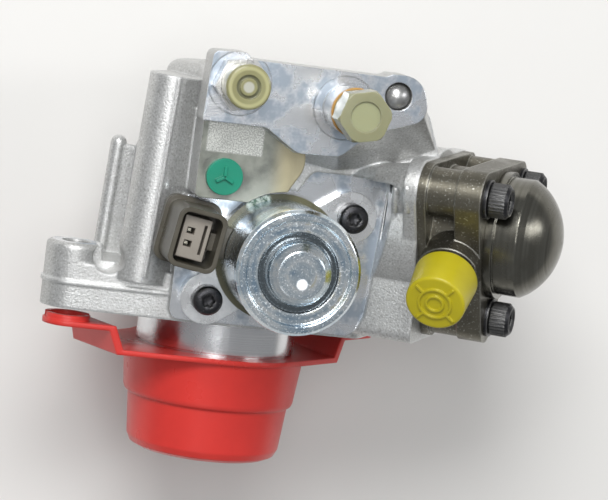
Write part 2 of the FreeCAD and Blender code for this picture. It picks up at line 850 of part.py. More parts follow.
def head_washers():
    solids = []
    for p in head_bolt_places():
        solids.append(ring(washer_r, head_bolt_r + 0.3, washer_t, Vec(p.x, p.y, head_face_t)))
    return to_head(Part.makeCompound(solids))


def inlet_valve_seat():
    # disc clamped under the dome plug, with the inlet holes and the valve's guide
    t0 = inlet_valve_t()
    disc = cyl(dome_thread_r - rest_gap, valve_disc_t, Vec(0, 0, t0))
    disc = disc.cut(cyl(valve_stem_r + running_gap, valve_disc_t, Vec(0, 0, t0)))
    for i in range(4):
        a = math.radians(45 + 90 * i)
        disc = disc.cut(cyl(0.8, valve_disc_t, Vec(3.0 * math.cos(a), 3.0 * math.sin(a), t0)))
    return to_head(disc)


def inlet_valve():
    # mushroom plate below the disc, its stem through the guide
    t0 = inlet_valve_t()
    plate = cyl(4.4, 1.0, Vec(0, 0, t0 - 1.05))
    stem = cyl(valve_stem_r, valve_disc_t + valve_stem_len, Vec(0, 0, t0 - 0.1))
    return to_head(fuse([plate, stem]))


def inlet_valve_retainer():
    # spring plate pressed on the stem's end
    t1 = inlet_valve_t() + valve_disc_t + valve_stem_len - 0.1
    return to_head(ring(3.0, valve_stem_r, 0.8, Vec(0, 0, t1 - 0.8)))


def inlet_valve_spring():
    t0 = inlet_valve_t() + valve_disc_t
    return to_head(coil_spring(2.2, 0.3, t0 + 0.05, t0 + valve_stem_len - 0.95, 2.5))


# Outlet fitting and its cap

def outlet_fitting():
    z0 = port_boss_top - outlet_stem_len
    body = cyl(outlet_stem_r - running_gap, outlet_stem_len, Vec(0, 0, z0))
    collar = cyl(port_boss_r - 1.0, 1.5, Vec(0, 0, port_boss_top))
    nose = cyl(port_nose_r, port_nose_len, Vec(0, 0, port_boss_top))
    nose = nose.makeChamfer(0.8, [e for e in nose.Edges if e.BoundBox.ZMin > port_boss_top + 1])
    whole = fuse([body, collar, nose])
    whole = whole.cut(cyl(1.2, outlet_stem_len + port_nose_len + 1, Vec(0, 0, z0)))
    whole = whole.cut(cyl(2.2, outlet_spring_room, Vec(0, 0, z0)))
    whole = whole.cut(Part.makeCone(1.2, 3.6, 3.0, Vec(0, 0, port_boss_top + port_nose_len - 3.0)))
    return to_head(to_port(whole))


def outlet_ball_z():
    # the ball rests on the mouth of the drilling, at the floor of the fitting's bore
    floor = port_boss_top - outlet_bore_depth
    return floor + math.sqrt((outlet_ball_r + 0.02) ** 2 - outlet_drill_r ** 2)


def outlet_ball():
    z = outlet_ball_z()
    return to_head(to_port(Part.makeSphere(outlet_ball_r, Vec(0, 0, z))))


def outlet_spring():
    z0 = outlet_ball_z() + outlet_ball_r + 0.1
    z1 = port_boss_top - outlet_stem_len + outlet_spring_room - 0.1
    return to_head(to_port(coil_spring(1.3, 0.25, z0, z1, 4)))


def outlet_cap():
    # push-on cap: slightly tapered cup with a bead at its mouth and ribs on its face
    z0 = port_boss_top + 1.6
    z1 = port_boss_top + outlet_cap_len
    cup = Part.makeCone(outlet_cap_r, outlet_cap_face_r, z1 - z0, Vec(0, 0, z0))
    cup = cup.makeFillet(0.8, [e for e in cup.Edges if e.BoundBox.ZMin > z1 - 0.01])
    cup = cup.cut(cyl(port_nose_r + 0.1, port_nose_len, Vec(0, 0, z0 - 1)))
    face = []
    for r in (2.4, 4.6):
        face.append(ring(r + 0.35, r - 0.35, 0.9, Vec(0, 0, z1 - 0.4)))
    for i in range(4):
        rib = Part.makeBox(2.6, 0.7, 0.9, Vec(4.9, -0.35, z1 - 0.4))
        rib.rotate(Vec(0, 0, 0), Z_AXIS, 45 + 90 * i)
        face.append(rib)
    return to_head(to_port(fuse([cup] + face)))


# Metering valve

def valve_flange():
    z0 = valve_pad_z
    lobes = []
    for p in valve_screw_places():
        lobes.append(cyl(7.4, valve_flange_t, Vec(p.x, p.y, z0)))
    turn = math.degrees(math.atan2(valve_screw_dy, valve_screw_dx))
    half = math.hypot(valve_screw_dx, valve_screw_dy)
    bar = slab([(-half, -7.4, 0), (half, -7.4, 0), (half, 7.4, 0), (-half, 7.4, 0)], 0, valve_flange_t)
    bar.rotate(Vec(0, 0, 0), Z_AXIS, turn)
    bar.translate(Vec(valve_x, valve_y, z0))
    disc = cyl(can_r + 1.5, valve_flange_t, Vec(valve_x, valve_y, z0))
    body = fuse([disc, bar] + lobes)
    body = body.cut(cyl(nose_r, valve_flange_t + 1, Vec(valve_x, valve_y, z0)))
    for p in valve_screw_places():
        body = body.cut(cyl(valve_screw_r + 0.3, valve_flange_t + 1, Vec(p.x, p.y, z0)))
    return body


def valve_body():
    # steel sleeve that the spool slides in, with its metering port
    z0 = valve_pad_z - nose_len
    at = Vec(valve_x, valve_y, z0)
    body = fuse([
        cyl(nose_r - running_gap, nose_len + valve_flange_t, at),
        cyl(nose_tip_r - running_gap, nose_tip_len, at - Vec(0, 0, nose_tip_len)),
    ])
    body = body.cut(cyl(spool_r + running_gap / 2, 30, at - Vec(0, 0, nose_tip_len - nose_floor_t)))
    body = body.cut(cyl(1.2, 3, at - Vec(0, 0, nose_tip_len)))
    for rise in o_ring_rises:
        body = body.cut(ring(nose_r, nose_r - 2.1, 2.4, at + Vec(0, 0, rise - 1.2)))
    return body


def valve_o_rings():
    z0 = valve_pad_z - nose_len
    rings = []
    for rise in o_ring_rises:
        rings.append(Part.makeTorus(nose_r - 1.05, 1.0, Vec(valve_x, valve_y, z0 + rise), Z_AXIS))
    return Part.makeCompound(rings)


def valve_spool():
    body = cyl(spool_r, spool_len, Vec(valve_x, valve_y, spool_z))
    body = body.cut(ring(spool_r, spool_r - 0.8, 2.0, Vec(valve_x, valve_y, spool_z + 3)))
    return body.cut(cyl(1.3, 2.0, Vec(valve_x, valve_y, spool_z)))


def valve_spring():
    z0 = valve_pad_z - nose_len - nose_tip_len + nose_floor_t
    spring = coil_spring(2.2, 0.3, z0 + 0.05, spool_z - 0.05, 3)
    spring.translate(Vec(valve_x, valve_y, 0))
    return spring


def valve_can():
    # deep drawn cup with a rolled rim, a stepped annular face and a raised centre
    z0 = valve_pad_z + valve_flange_t
    zt = can_top_z
    profile = [
        (can_r - can_wall, z0), (can_r, z0), (can_r, zt - 5.0), (can_rim_r, zt - 4.2),
        (can_rim_r, zt - 1.2), (can_rim_r - 0.9, zt), (can_rim_r - 2.6, zt),
        (can_rim_r - 3.2, zt - 0.9), (11.4, zt - 0.9), (11.0, zt - 1.7), (9.6, zt - 1.7),
        (can_boss_r, zt - 0.9), (can_boss_r, zt + can_boss_h - 2.1), (can_boss_r - 2.1, zt + can_boss_h),
        (0, zt + can_boss_h), (0, zt + can_boss_h - 1.2),
        (can_boss_r - 2.4, zt + can_boss_h - 1.2), (can_boss_r - 1.2, zt + can_boss_h - 2.4),
        (can_boss_r - 1.2, zt - 2.9), (can_r - can_wall, zt - 2.9),
    ]
    body = revolve(profile)
    body.translate(Vec(valve_x, valve_y, 0))
    return body


def valve_coil():
    # winding on its bobbin round the fixed core
    z0 = valve_pad_z + valve_flange_t
    height = can_top_z - 3.4 - z0
    return ring(can_r - can_wall - 0.2, core_r + 0.2, height, Vec(valve_x, valve_y, z0))


def valve_core():
    z0 = valve_pad_z + valve_flange_t
    height = can_top_z - 3.4 - z0
    return cyl(core_r, height, Vec(valve_x, valve_y, z0))


def place_socket(shape):
    placed = shape.copy()
    placed.rotate(Vec(0, 0, 0), Z_AXIS, socket_turn_deg)
    placed.translate(Vec(socket_x, socket_y, 0))
    return placed


def socket_corners(shrink):
    hx = socket_len / 2 - shrink
    hy = socket_wid / 2 - shrink
    r = 3.0 - shrink * 0.8
    return [(-hx, -hy, r), (hx, -hy, r), (hx, hy, r), (-hx, hy, r)]


def valve_connector():
    # moulded two-pin socket, joined to the can's foot by a short neck
    shell = slab(socket_corners(0), socket_base_z, socket_top_z)
    shell = shell.cut(slab(socket_corners(socket_wall), socket_floor_z, socket_top_z + 1))
    key = Part.makeBox(1.6, 5.0, socket_top_z - socket_floor_z - 6.5,
                       Vec(socket_len / 2 - socket_wall - 1.6, -2.5, socket_floor_z))
    collar = slab([(-socket_len / 2 - 1.2, -socket_wid / 2 - 1.2, 3.5),
                   (socket_len / 2 + 1.2, -socket_wid / 2 - 1.2, 3.5),
                   (socket_len / 2 + 1.2, socket_wid / 2 + 1.2, 3.5),
                   (-socket_len / 2 - 1.2, socket_wid / 2 + 1.2, 3.5)],
                  socket_base_z, socket_base_z + 3.5)
    body = place_socket(fuse([shell, key, collar]))
    neck = Part.makeBox(18, 9, 6.5, Vec(2, -4.5, valve_pad_z + valve_flange_t))
    neck = place_socket(neck)
    body = fuse([body, neck])
    body = body.cut(cyl(can_r + 0.05, 40, Vec(valve_x, valve_y, valve_pad_z)))
    for side in (-1, 1):
        hole = Part.makeBox(1.0, 1.0, 8, Vec(-2.5, side * pin_gap / 2 - 0.5, socket_floor_z - 4))
        body = body.cut(place_socket(hole))
    return body


def valve_terminals():
    pins = []
    for side in (-1, 1):
        pin = Part.makeBox(1.0, 1.0, 11, Vec(-2.5, side * pin_gap / 2 - 0.5, socket_floor_z - 4))
        pins.append(place_socket(pin))
    return Part.makeCompound(pins)


def valve_screws():
    solids = []
    z0 = valve_pad_z + valve_flange_t
    for p in valve_screw_places():
        head = cyl(valve_screw_head_r, valve_screw_head_h, Vec(p.x, p.y, z0))
        head = head.makeFillet(0.6, [e for e in head.Edges if e.BoundBox.ZMin > z0 + valve_screw_head_h - 0.01])
        shank = cyl(valve_screw_r - 0.02, valve_flange_t + valve_screw_grip - 0.5,
                    Vec(p.x, p.y, valve_pad_z - valve_screw_grip + 0.5))
        socket = hexagon(4.0, 2.8, Vec(p.x, p.y, z0 + valve_screw_head_h - 2.8))
        solids.append(fuse([head, shank]).cut(socket))
    return Part.makeCompound(solids)


# Fittings, plugs and caps of the top pad

def return_fitting():
    x, y = return_at
    z0 = top_pad_z - 0.4
    body = fuse([
        cyl(return_stem_r, stem_len, Vec(x, y, z0 - stem_len)),
        hexagon(return_hex_af, return_hex_h, Vec(x, y, z0), 10),
        cyl(return_nipple_r, return_nipple_len, Vec(x, y, z0 + return_hex_h)),
        cyl(return_bead_r, 1.2, Vec(x, y, z0 + return_hex_h + return_nipple_len - 3.0)),
    ])
    return body.cut(cyl(return_hole_r, 30, Vec(x, y, z0 - stem_len)))


def return_cap():
    x, y = return_at
    z0 = top_pad_z - 0.4 + return_hex_h + 0.3
    z1 = z0 + return_cap_h
    body = cyl(return_cap_r, return_cap_h, Vec(x, y, z0))
    body = body.makeFillet(0.8, [e for e in body.Edges if e.BoundBox.ZMin > z1 - 0.01])
    body = body.cut(cyl(4.8, 7.0, Vec(x, y, z0)))
    return body.cut(ring(3.4, 2.4, 0.7, Vec(x, y, z1 - 0.7)))


def inlet_fitting():
    x, y = inlet_at
    z0 = top_pad_z - 0.4
    body = fuse([
        cyl(4.98, stem_len, Vec(x, y, z0 - stem_len)),
        cyl(inlet_base_r, inlet_base_h, Vec(x, y, z0)),
        cyl(inlet_neck_r, inlet_cap_h - 3.0, Vec(x, y, z0 + inlet_base_h)),
    ])
    body = body.cut(ring(inlet_base_r, inlet_base_r - 1.0, 1.2, Vec(x, y, z0 + 1.6)))
    return body.cut(cyl(3.0, 50, Vec(x, y, z0 - stem_len)))


def inlet_seal():
    x, y = inlet_at
    return ring(inlet_neck_r + 1.9, inlet_neck_r + 0.02, 1.4, Vec(x, y, top_pad_z - 0.4 + inlet_base_h))


def inlet_cap():
    x, y = inlet_at
    z0 = top_pad_z - 0.4 + inlet_base_h + 1.7
    z1 = z0 + inlet_cap_h
    skirt = cyl(inlet_cap_af / 2 - 0.2, 4.0, Vec(x, y, z0))
    head = hexagon(inlet_cap_af, inlet_cap_h - 4.0, Vec(x, y, z0 + 4.0), 12)
    trim = Part.makeCone(inlet_cap_af * 0.9, inlet_cap_af * 0.53, inlet_cap_h, Vec(x, y, z0))
    body = fuse([skirt, head.common(trim)])
    body = body.cut(cyl(inlet_neck_r + 0.1, inlet_cap_h - 4.0, Vec(x, y, z0)))
    return body.cut(cyl(4.2, 0.6, Vec(x, y, z1 - 0.6)))


def gallery_ball_plug():
    x, y = ball_at
    return Part.makeSphere(gallery_ball_r - 0.02, Vec(x, y, top_pad_z - 3.0))


def gauge_port_plug():
    x, y = gauge_at
    z0 = text_pad_z
    body = fuse([
        cyl(gauge_plug_r, 2.2, Vec(x, y, z0)),
        cyl(3.9, 7.0, Vec(x, y, z0 - 7.0)),
    ])
    legs = []
    for i in range(3):
        leg = Part.makeBox(2.6, 0.9, 0.8, Vec(0.2, -0.45, z0 + 2.2))
        leg.rotate(Vec(0, 0, 0), Z_AXIS, 90 + 120 * i)
        leg.translate(Vec(x, y, 0))
        legs.append(leg)
    return fuse([body] + legs)


# Transport cap

def cap_arm(x, z):
    # bent strap from the cup's collar out to one lug: low plate, rise and ear
    reach = math.hypot(x, z)
    bend = reach - ear_step_back
    y0 = tcap_rim_y - tcap_wall
    y1 = ear_y
    w = tcap_wall
    side = [
        (0, y0), (bend, y0), (bend + ear_rise_len, y1), (reach + ear_r + 1, y1),
        (reach + ear_r + 1, y1 + w), (bend + ear_rise_len - w, y1 + w), (bend - w, y0 + w), (0, y0 + w),
    ]
    points = [Vec(s, y, 0) for s, y in side]
    strip = Part.Face(Part.makePolygon(points + points[:1])).extrude(Vec(0, 0, 2 * tray_r))
    strip.translate(Vec(0, 0, -tray_r))
    strip.rotate(Vec(0, 0, 0), Y_AXIS, -math.degrees(math.atan2(z, x)))
    outline = lug_hull(0, 0, tray_r, x, z, ear_r, y0 - 1, y1 + w + 1)
    arm = strip.common(outline)
    foot = ring(lug_hole_r + 2.4, lug_hole_r + 0.9, stand_off_y - y1 - w, Vec(x, y1 + w, z), Y_AXIS)
    gap = Part.makeBox(2 * ear_r, 4, 3.0, Vec(x - ear_r, y1 + w, z - 1.5))
    return [arm, foot.cut(gap)]


def transport_cap():
    # cup over the pilot spigot and shaft end, with a collar and three bent ears under the lugs
    inner = spigot_nose_r + tcap_gap
    w = tcap_wall
    y0 = tcap_rim_y - w
    profile = [
        (inner, tcap_rim_y), (tray_r, tcap_rim_y), (tray_r, y0), (tcap_rim_r, y0),
        (tcap_step_r, tcap_step_y + 1.0), (tcap_step_r - 0.4, tcap_step_y), (tcap_low_r, tcap_step_y - 0.7),
        (tcap_end_r, tcap_end_y + tcap_corner), (tcap_end_r - 1.0, tcap_end_y + 1.0),
        (tcap_end_r - tcap_corner, tcap_end_y), (0, tcap_end_y), (0, tcap_end_y + w),
        (tcap_end_r - tcap_corner - 0.5, tcap_end_y + w), (tcap_end_r - w, tcap_end_y + tcap_corner + 0.5),
        (tcap_low_r - w, tcap_step_y + 0.6), (inner - 1.2, tcap_step_y + w), (inner - 1.2, -spigot_len - 0.6),
        (inner, -spigot_len - 0.6),
    ]
    cup = revolve(profile)
    cup.rotate(Vec(0, 0, 0), X_AXIS, -90)
    arms = []
    for x, z in (lug_left, lug_right, lug_bottom):
        arms += cap_arm(x, z)
    bore = cyl(inner + w / 2, tcap_wall * 4, Vec(0, tcap_rim_y - w * 2, 0), Y_AXIS)
    cap = fuse([arm.cut(bore) for arm in arms] + [cup])
    for x, z in (lug_left, lug_right, lug_bottom):
        cap = cap.cut(cyl(lug_hole_r + 0.9, flange_t, Vec(x, ear_y - flange_t / 2, z), Y_AXIS))
    return cap


PARTS = {
    "pump_housing": pump_housing,
    "front_bearing_carrier": front_bearing_carrier,
    "carrier_o_ring": carrier_o_ring,
    "shaft_seal": shaft_seal,
    "front_bush": front_bush,
    "rear_bush": rear_bush,
    "thrust_washer": thrust_washer,
    "drive_shaft": drive_shaft,
    "shaft_key": shaft_key,
    "tappet_body": tappet_body,
    "tappet_roller": tappet_roller,
    "roller_pin": roller_pin,
    "spring_seat": spring_seat,
    "plunger_spring": plunger_spring,
    "plunger": plunger,
    "plunger_seal": plunger_seal,
    "head_body": head_body,
    "head_o_ring": head_o_ring,
    "head_dome": head_dome,
    "head_bolts": head_bolts,
    "head_washers": head_washers,
    "inlet_valve_seat": inlet_valve_seat,
    "inlet_valve": inlet_valve,
    "inlet_valve_spring": inlet_valve_spring,
    "inlet_valve_retainer": inlet_valve_retainer,
    "outlet_fitting": outlet_fitting,
    "outlet_ball": outlet_ball,
    "outlet_spring": outlet_spring,
    "outlet_cap": outlet_cap,
    "valve_flange": valve_flange,
    "valve_body": valve_body,
    "valve_o_rings": valve_o_rings,
    "valve_spool": valve_spool,
    "valve_spring": valve_spring,
    "valve_can": valve_can,
    "valve_coil": valve_coil,
    "valve_core": valve_core,
    "valve_connector": valve_connector,
    "valve_terminals": valve_terminals,
    "valve_screws": valve_screws,
    "return_fitting": return_fitting,
    "return_cap": return_cap,
    "inlet_fitting": inlet_fitting,
    "inlet_seal": inlet_seal,
    "inlet_cap": inlet_cap,
    "gallery_ball_plug": gallery_ball_plug,
    "gauge_port_plug": gauge_port_plug,
    "transport_cap": transport_cap,
}


def main():
    os.makedirs("parts", exist_ok=True)
    for name, make in PARTS.items():
        shape = make()
        shape.exportStep("parts/" + name + ".step")
        box = shape.BoundBox
        print(name, "solids", len(shape.Solids), "valid", shape.isValid(), "volume", round(shape.Volume, 1),
              "y", round(box.YMin, 1), round(box.YMax, 1), "z", round(box.ZMin, 1), round(box.ZMax, 1))


main()
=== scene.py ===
import bpy
import bmesh
import math
from mathutils import Matrix, Vector


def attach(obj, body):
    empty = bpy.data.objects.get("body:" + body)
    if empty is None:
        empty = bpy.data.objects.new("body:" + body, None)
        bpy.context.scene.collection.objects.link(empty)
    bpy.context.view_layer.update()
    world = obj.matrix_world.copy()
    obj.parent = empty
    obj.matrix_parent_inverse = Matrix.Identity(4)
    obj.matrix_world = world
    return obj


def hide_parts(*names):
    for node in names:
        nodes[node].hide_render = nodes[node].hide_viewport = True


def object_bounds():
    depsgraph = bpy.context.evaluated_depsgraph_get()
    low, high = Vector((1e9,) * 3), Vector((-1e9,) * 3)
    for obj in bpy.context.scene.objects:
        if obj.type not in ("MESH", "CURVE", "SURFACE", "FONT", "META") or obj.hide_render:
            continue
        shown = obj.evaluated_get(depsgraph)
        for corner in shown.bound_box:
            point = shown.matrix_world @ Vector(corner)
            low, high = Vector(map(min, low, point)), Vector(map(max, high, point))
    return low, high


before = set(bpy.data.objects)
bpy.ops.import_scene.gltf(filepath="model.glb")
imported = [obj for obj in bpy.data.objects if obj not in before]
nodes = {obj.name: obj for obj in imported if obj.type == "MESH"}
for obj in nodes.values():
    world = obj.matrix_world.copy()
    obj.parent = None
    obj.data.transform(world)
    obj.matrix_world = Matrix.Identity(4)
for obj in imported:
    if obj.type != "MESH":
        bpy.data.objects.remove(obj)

cad_box = [list(corner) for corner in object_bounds()]
bpy.ops.object.select_all(action="DESELECT")


# The room: a pale floor under the pump, a broad lamp high behind it, a second one over it beside
# the camera, and weak ones on the right and in front, in a dim even world. The camera stands
# where the photographer did, and its place and lens were fitted to points of the pump.

bpy.context.scene.view_settings.view_transform = "Standard"

picture_right = Vector((0.97359, 0.12869, 0.1886))
picture_up = Vector((-0.10413, 0.98538, -0.13484))
toward_camera = Vector((-0.20319, 0.11164, 0.97275))
camera_data = bpy.data.cameras.new("photo_camera")
camera_data.sensor_width = 36
camera_data.lens = 169.637
camera_data.clip_end = 20
camera = bpy.data.objects.new("photo_camera", camera_data)
bpy.context.scene.collection.objects.link(camera)
turned = Matrix((picture_right, picture_up, toward_camera)).transposed().to_4x4()
camera.matrix_world = Matrix.Translation((-0.151183, 0.116653, 0.836698)) @ turned
bpy.context.scene.camera = camera


def start_material(name, colour, metallic, roughness):
    material = bpy.data.materials.new(name)
    material.use_nodes = True
    tree = material.node_tree
    shader = tree.nodes["Principled BSDF"]
    shader.inputs["Base Color"].default_value = (*colour, 1)
    shader.inputs["Metallic"].default_value = metallic
    shader.inputs["Roughness"].default_value = roughness
    place = tree.nodes.new("ShaderNodeTexCoord").outputs["Object"]
    return material, tree, shader, place


def give(tree, node, inputs):
    # each input takes a link from another socket, a colour or a plain value
    for name, value in inputs.items():
        if isinstance(value, bpy.types.NodeSocket):
            tree.links.new(value, node.inputs[name])
        elif node.inputs[name].type == "RGBA":
            node.inputs[name].default_value = (*value, 1)
        else:
            node.inputs[name].default_value = value
    return node


def put(tree, kind, inputs={}, **settings):
    made = tree.nodes.new(kind)
    for name, value in settings.items():
        setattr(made, name, value)
    return give(tree, made, inputs)


bpy.ops.mesh.primitive_plane_add(size=6, location=(0, 0, cad_box[0][2] - 0.0005))
floor = bpy.context.active_object
floor.name = "floor"
floor.data.materials.append(start_material("pale_floor", (0.72, 0.71, 0.69), 0, 0.75)[0])


def add_lamp(name, place_m, aim_m, size_m, power_w):
    lamp_data = bpy.data.lights.new(name, "AREA")
    lamp_data.shape = "RECTANGLE"
    lamp_data.size = size_m[0]
    lamp_data.size_y = size_m[1]
    lamp_data.energy = power_w
    lamp = bpy.data.objects.new(name, lamp_data)
    bpy.context.scene.collection.objects.link(lamp)
    lamp.location = place_m
    lamp.rotation_euler = (Vector(aim_m) - Vector(place_m)).to_track_quat("-Z", "Y").to_euler()


add_lamp("high_lamp", (-0.22, 0.62, 0.85), (0.01, 0.02, 0), (0.5, 0.4), 10)
add_lamp("over_lamp", (-0.12, 0.17, 1.0), (0.01, 0.02, 0), (0.34, 0.34), 2.3)
add_lamp("right_lamp", (0.80, 0.30, 0.60), (0.02, 0.02, 0), (0.2, 0.5), 2)
add_lamp("front_lamp", (-0.25, -0.60, 0.80), (0.01, 0.02, 0), (0.4, 0.3), 0.3)

world = bpy.data.worlds.new("studio_world")
world.use_nodes = True
bpy.context.scene.world = world
world.node_tree.nodes["Background"].inputs["Color"].default_value = (0.96, 0.98, 1.0, 1)
world.node_tree.nodes["Background"].inputs["Strength"].default_value = 0.30


# The housing: die cast in aluminium with a fine blasted grain, then milled bright on its pads,
# its flange face and its bores. Handling has left blue-grey stains on the milled faces, and the
# etched patch on the text pad is left blank.

def make_group(name, inputs, outputs):
    group = bpy.data.node_groups.new(name, "ShaderNodeTree")
    for label, kind, value in inputs:
        socket = group.interface.new_socket(label, in_out="INPUT", socket_type=kind)
        if value is not None:
            socket.default_value = value
    for label, kind in outputs:
        group.interface.new_socket(label, in_out="OUTPUT", socket_type=kind)
    return group, put(group, "NodeGroupInput").outputs, put(group, "NodeGroupOutput")


# soft noise between two values, for stains, dullness and dirt
patches, given, result = make_group(
    "patches",
    [("Place", "NodeSocketVector", None), ("Scale", "NodeSocketFloat", 60.0),
     ("Detail", "NodeSocketFloat", 4.0), ("From", "NodeSocketFloat", 0.4), ("To", "NodeSocketFloat", 0.6)],
    [("Mask", "NodeSocketFloat")])
noise = put(patches, "ShaderNodeTexNoise", {
    "Vector": given["Place"], "Scale": given["Scale"], "Detail": given["Detail"], "Roughness": 0.6})
spread = put(patches, "ShaderNodeMapRange", {
    "Value": noise.outputs["Fac"], "From Min": given["From"], "From Max": given["To"]},
    interpolation_type="SMOOTHSTEP")
give(patches, result, {"Mask": spread.outputs["Result"]})

# rounded edges, and a mask of where an edge is, for wear
edges, given, result = make_group(
    "edges", [("Radius", "NodeSocketFloat", 0.0006), ("Bump", "NodeSocketVector", None)],
    [("Normal", "NodeSocketVector"), ("Wear", "NodeSocketFloat")])
rounded = put(edges, "ShaderNodeBevel", {"Radius": given["Radius"], "Normal": given["Bump"]}, samples=4)
sharp = put(edges, "ShaderNodeBevel", {"Radius": given["Radius"]}, samples=4)
alike = put(edges, "ShaderNodeVectorMath", operation="DOT_PRODUCT")
edges.links.new(put(edges, "ShaderNodeNewGeometry").outputs["Normal"], alike.inputs[0])
edges.links.new(sharp.outputs["Normal"], alike.inputs[1])
wear = put(edges, "ShaderNodeMapRange", {
    "Value": alike.outputs["Value"], "From Min": 0.97, "From Max": 0.75}, interpolation_type="SMOOTHSTEP")
give(edges, result, {"Normal": rounded.outputs["Normal"], "Wear": wear.outputs["Result"]})

# height along an axis, distance from it, and the fine rings that a lathe leaves about it
lathe, given, result = make_group(
    "lathe",
    [("Place", "NodeSocketVector", None), ("Centre", "NodeSocketVector", None),
     ("Axis", "NodeSocketVector", None), ("Fineness", "NodeSocketFloat", 2500.0)],
    [("Along", "NodeSocketFloat"), ("Out", "NodeSocketFloat"), ("Rings", "NodeSocketFloat")])


def vector_step(tree, operation, first, second):
    step = put(tree, "ShaderNodeVectorMath", operation=operation)
    for socket, value in zip(step.inputs, (first, second)):
        if isinstance(value, bpy.types.NodeSocket):
            tree.links.new(value, socket)
        else:
            socket.default_value = value
    return step


from_centre = vector_step(lathe, "SUBTRACT", given["Place"], given["Centre"]).outputs["Vector"]
along = vector_step(lathe, "DOT_PRODUCT", from_centre, given["Axis"]).outputs["Value"]
on_axis = put(lathe, "ShaderNodeVectorMath", {"Scale": along}, operation="SCALE")
lathe.links.new(given["Axis"], on_axis.inputs[0])
out_from_axis = vector_step(lathe, "SUBTRACT", from_centre, on_axis.outputs["Vector"]).outputs["Vector"]
out = put(lathe, "ShaderNodeVectorMath", operation="LENGTH")
lathe.links.new(out_from_axis, out.inputs[0])
flat_place = put(lathe, "ShaderNodeCombineXYZ", {"X": along, "Y": out.outputs["Value"]})
ring_noise = put(lathe, "ShaderNodeTexNoise", {
    "Vector": flat_place.outputs["Vector"], "Scale": given["Fineness"], "Detail": 2.0})
give(lathe, result, {"Along": along, "Out": out.outputs["Value"], "Rings": ring_noise.outputs["Fac"]})


def place_group(tree, group, inputs):
    made = tree.nodes.new("ShaderNodeGroup")
    made.node_tree = group
    return give(tree, made, inputs)


def patch_mask(tree, place, scale, low, high, detail=4.0):
    made = place_group(tree, patches, {
        "Place": place, "Scale": scale, "Detail": detail, "From": low, "To": high})
    return made.outputs["Mask"]


def product(tree, first, second):
    made = put(tree, "ShaderNodeMath", operation="MULTIPLY")
    tree.links.new(first, made.inputs[0])
    tree.links.new(second, made.inputs[1])
    return made.outputs["Value"]


def band(tree, value, low, high, soft):
    # 1 between the two values and 0 outside them
    above_low = between(tree, value, low - soft, low + soft)
    return product(tree, above_low, between(tree, value, high + soft, high - soft))


def far_from(tree, place, point):
    made = put(tree, "ShaderNodeVectorMath", operation="DISTANCE")
    tree.links.new(place, made.inputs[0])
    made.inputs[1].default_value = point
    return made.outputs["Value"]


def blend_colours(tree, mask, first, second):
    mix = tree.nodes.new("ShaderNodeMix")
    mix.data_type = "RGBA"
    for socket, value in ((mix.inputs["Factor"], mask), (mix.inputs[6], first), (mix.inputs[7], second)):
        if isinstance(value, bpy.types.NodeSocket):
            tree.links.new(value, socket)
        else:
            socket.default_value = value if isinstance(value, float) else (*value, 1)
    return mix.outputs[2]


def blend_values(tree, mask, first, second):
    spread = put(tree, "ShaderNodeMapRange", {"Value": mask, "To Min": first, "To Max": second})
    return spread.outputs["Result"]


def between(tree, value, first, second):
    # 0 below the first value, 1 above the second, smooth between them
    step = put(tree, "ShaderNodeMapRange", {"Value": value, "From Min": first, "From Max": second},
               interpolation_type="SMOOTHSTEP")
    return step.outputs["Result"]


def grained_bump(tree, place, scale, height_m, strength):
    grain = put(tree, "ShaderNodeTexNoise", {
        "Vector": place, "Scale": scale, "Detail": 3.0, "Roughness": 0.6})
    bump = put(tree, "ShaderNodeBump", {
        "Height": grain.outputs["Fac"], "Distance": height_m, "Strength": strength})
    return bump.outputs["Normal"], grain.outputs["Fac"]


def cast_material(name, colour, dark, bright, roughness):
    # blasted grain: a fine bump with small glints, broad dull stains and bright rubbed edges
    material, tree, shader, place = start_material(name, colour, 0.75, roughness)
    normal, grain = grained_bump(tree, place, 1700, 0.00014, 0.8)
    stains = patch_mask(tree, place, 45.0, 0.35, 0.7)
    rim = place_group(tree, edges, {"Radius": 0.0012, "Bump": normal})
    body = blend_colours(tree, stains, colour, tuple(0.5 * (a + b) for a, b in zip(colour, dark)))
    body = blend_colours(tree, between(tree, grain, 0.52, 0.30), body, dark)
    body = blend_colours(tree, between(tree, grain, 0.55, 0.80), body, bright)
    body = blend_colours(tree, rim.outputs["Wear"], body, bright)
    give(tree, shader, {
        "Base Color": body,
        "Roughness": blend_values(tree, stains, roughness - 0.06, roughness + 0.08),
        "Normal": rim.outputs["Normal"]})
    return material


def milled_material(name, colour, stain, roughness, stretch):
    # cutter marks as a stretched noise, with cloudy stains where hands and coolant have dried
    material, tree, shader, place = start_material(name, colour, 1.0, roughness)
    lines = put(tree, "ShaderNodeMapping", {"Vector": place, "Scale": stretch})
    tool_marks = put(tree, "ShaderNodeTexNoise", {
        "Vector": lines.outputs["Vector"], "Scale": 1.0, "Detail": 2.0})
    bump = put(tree, "ShaderNodeBump", {
        "Height": tool_marks.outputs["Fac"], "Distance": 0.00004, "Strength": 0.5})
    stains = patch_mask(tree, place, 90.0, 0.44, 0.60)
    rim = place_group(tree, edges, {"Radius": 0.0004, "Bump": bump.outputs["Normal"]})
    body = blend_colours(tree, stains, colour, stain)
    body = blend_colours(tree, rim.outputs["Wear"], body, (0.92, 0.93, 0.94))
    give(tree, shader, {
        "Base Color": body,
        "Roughness": blend_values(tree, stains, roughness, roughness + 0.14),
        "Normal": rim.outputs["Normal"]})
    return material


